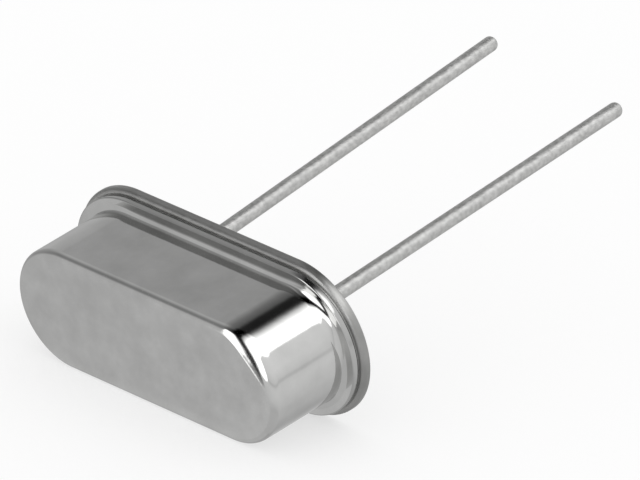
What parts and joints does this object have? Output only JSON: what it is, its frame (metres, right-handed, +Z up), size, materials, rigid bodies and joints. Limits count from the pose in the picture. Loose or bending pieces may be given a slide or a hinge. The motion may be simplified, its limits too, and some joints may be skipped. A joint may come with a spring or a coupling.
{
  "type": "crystal oscillator",
  "caption": "Low-profile quartz crystal in a welded oval metal can with a rim, wire leads through glass seals, and a plated quartz strip held in spring clips inside.",
  "frame": {"origin": "middle of the part's box on the surface that it lies on", "axes": "+Z up from that surface, +X along the can's length, +Y the way the leads point; the crystal lies on its long side, on the base's rim and the edge of the can's top, tilted by 10.5 degrees"},
  "size_m": [0.0112, 0.017, 0.0061],
  "materials": {
    "can": "satin nickel over drawn sheet",
    "base": "satin nickel over stamped sheet, a little warmer than the can",
    "lead": "uneven hot-dipped tin",
    "glass_seal": "dark sealing glass, glossy",
    "clip": "satin nickel silver",
    "quartz": "lapped and etched, faintly milky",
    "electrode": "evaporated silver",
    "adhesive": "silver-filled epoxy"
  },
  "bodies": {
    "root": {"can": "can", "base": "base", "glass_seal_left": "glass_seal", "glass_seal_right": "glass_seal", "lead_left": "lead", "lead_right": "lead", "clip_left": "clip", "clip_right": "clip", "quartz_blank": "quartz", "electrode_upper": "electrode", "electrode_lower": "electrode", "glue_left_upper": "adhesive", "glue_left_lower": "adhesive", "glue_right_upper": "adhesive", "glue_right_lower": "adhesive"}
  },
  "joints": []
}
